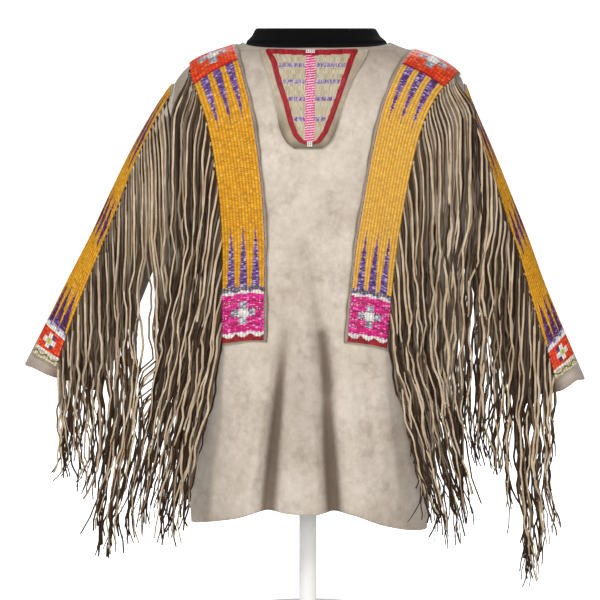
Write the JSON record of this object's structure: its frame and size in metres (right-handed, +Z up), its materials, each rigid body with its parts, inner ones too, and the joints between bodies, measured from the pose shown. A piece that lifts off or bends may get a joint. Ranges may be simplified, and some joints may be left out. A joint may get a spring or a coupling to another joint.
{
  "type": "quilled hide war shirt on a dress form",
  "caption": "Long-sleeved hide shirt with quilled strips over shoulders and down sleeves, a quilled neck bib and long fringes, filled out on a dress form on a pole and round base.",
  "frame": {"origin": "centre of the base plate's underside, on the surface that the stand rests on", "axes": "+Z up along the pole, -Y towards the shirt's front, +X to the right of a viewer who faces the front"},
  "size_m": [0.87, 0.32, 0.945],
  "materials": {
    "hide": "matt smoke-tanned hide, soft nap",
    "fringe_hide": "matt cut hide",
    "bib": "matt hide with quilled lanes",
    "quillwork": "dyed porcupine quills, satin",
    "form_cover": "black knitted cover",
    "stand_enamel": "satin white enamel"
  },
  "bodies": {
    "root": {"front_hide": "hide", "back_hide": "hide", "bib": "bib", "dress_form": "form_cover", "stand_pole": "stand_enamel", "stand_base": "stand_enamel", "sleeve_left": "hide", "shoulder_strip_left": "quillwork", "sleeve_strip_left": "quillwork", "front_fringe_left": "fringe_hide", "back_fringe_left": "fringe_hide", "sleeve_fringe_left": "fringe_hide", "sleeve_right": "hide", "shoulder_strip_right": "quillwork", "sleeve_strip_right": "quillwork", "front_fringe_right": "fringe_hide", "back_fringe_right": "fringe_hide", "sleeve_fringe_right": "fringe_hide"}
  },
  "joints": []
}
